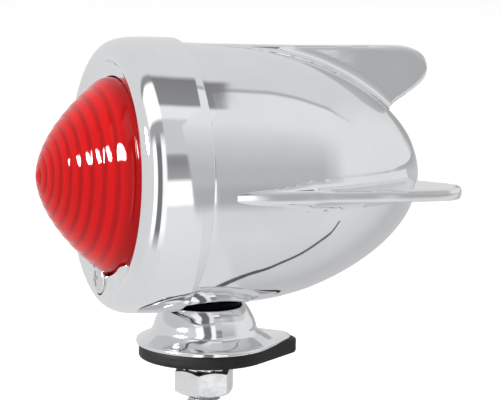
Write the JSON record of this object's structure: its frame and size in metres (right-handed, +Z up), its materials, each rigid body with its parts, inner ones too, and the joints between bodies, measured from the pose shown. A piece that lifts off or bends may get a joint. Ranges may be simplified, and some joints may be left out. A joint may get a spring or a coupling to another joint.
{
  "type": "motorcycle tail light",
  "caption": "Bullet-shaped chrome tail light with cast fins, a domed red ring lens, a screwed bezel and a swivelling stud base with a teardrop gasket.",
  "frame": {"origin": "on the stud axis, at the underside of the base gasket, the face that lies on the mudguard", "axes": "+Z up along the stud out of the mudguard, the lens faces -Y and two degrees upwards, +X is across the lamp"},
  "size_m": [0.0662, 0.0989, 0.1042],
  "materials": {
    "cast_chrome": "bright chrome plate over zinc die casting",
    "bezel_chrome": "mirror-bright chrome plate on pressed brass",
    "cup_chrome": "bright chrome plate",
    "red_lens": "clear moulded red acrylic with raised rings",
    "black_rubber": "matt black rubber",
    "steel_screw": "bright nickel plate",
    "zinc_fixing": "bright zinc plate",
    "stud_steel": "zinc plate, rolled thread",
    "spring_steel": "plain spring steel",
    "reflector_bright": "bright anodised",
    "socket_zinc": "zinc plated sheet steel",
    "fibre": "brown insulating fibre",
    "fibre_washer": "red vulcanised fibre",
    "brass_parts": "plain brass",
    "solder": "dull solder",
    "clear_glass": "clear glass",
    "black_glass": "black vitrite glass",
    "tungsten": "drawn wire",
    "lead_red": "red PVC sleeve",
    "lead_black": "black PVC sleeve"
  },
  "bodies": {
    "base": {"base_cup": "cup_chrome", "base_gasket": "black_rubber", "stud": "stud_steel", "wave_washer": "spring_steel", "swivel_shim": "fibre_washer", "stud_grommet": "black_rubber"},
    "head": {"housing": "cast_chrome", "seam_gasket": "black_rubber", "reflector": "reflector_bright", "reflector_snap_ring": "spring_steel", "socket_shell": "socket_zinc", "socket_rivets": "brass_parts", "contact_spring": "spring_steel", "tail_lead": "lead_black", "brake_lead": "lead_red"},
    "front": {"bezel": "bezel_chrome", "lens": "red_lens", "lens_gasket": "black_rubber", "lens_retainer": "spring_steel"},
    "screw_slide": {"screw_washer": "fibre_washer"},
    "screw": {"bezel_screw": "steel_screw"},
    "bulb": {"bulb_glass": "clear_glass", "bulb_stem": "clear_glass", "filament_supports": "tungsten", "filaments": "tungsten", "bulb_base": "brass_parts", "bulb_insulator": "black_glass", "bulb_contacts": "solder", "bulb_pins": "brass_parts"},
    "contacts": {"contact_carrier": "fibre", "contact_buttons": "brass_parts"},
    "washers": {"lock_washer": "zinc_fixing"},
    "nut": {"hex_nut": "zinc_fixing"}
  },
  "joints": [
    {"name": "head_swivel", "type": "hinge", "parent": "base", "child": "head", "pos_m": [0, 0, 0.017], "axis": [0, 0, 1], "range_deg": [-175, 175]},
    {"name": "bezel_pull", "type": "slide", "parent": "head", "child": "front", "axis": [0, -0.9994, 0.0349], "range_m": [0, 0.045]},
    {"name": "screw_withdraw", "type": "slide", "parent": "front", "child": "screw_slide", "axis": [0, -0.9994, 0.0349], "range_m": [0, 0.0147]},
    {"name": "screw_turn", "type": "hinge", "parent": "screw_slide", "child": "screw", "pos_m": [0, -0.02158, 0.02034], "axis": [0, -0.9994, 0.0349], "range_deg": [0, 7560]},
    {"name": "bulb_push", "type": "slide", "parent": "head", "child": "bulb", "axis": [0, 0.9994, -0.0349], "range_m": [0, 0.0025], "stiffness_N_per_m": 600, "springref_m": -0.008},
    {"name": "contact_push", "type": "slide", "parent": "head", "child": "contacts", "axis": [0, 0.9994, -0.0349], "range_m": [0, 0.0025], "deforming": ["contact_spring", "tail_lead", "brake_lead"]},
    {"name": "washer_drop", "type": "slide", "parent": "base", "child": "washers", "axis": [0, 0, -1], "range_m": [0, 0.01]},
    {"name": "nut_turn", "type": "hinge", "parent": "washers", "child": "nut", "pos_m": [0, 0, -0.006], "axis": [0, 0, 1], "range_deg": [0, 2880]}
  ],
  "couplings": [
    {"joint": "screw_turn", "follows": "screw_withdraw", "rad_per_m": 8976},
    {"joint": "contact_push", "follows": "bulb_push", "ratio": 1},
    {"joint": "nut_turn", "follows": "washer_drop", "rad_per_m": 5026.5}
  ]
}
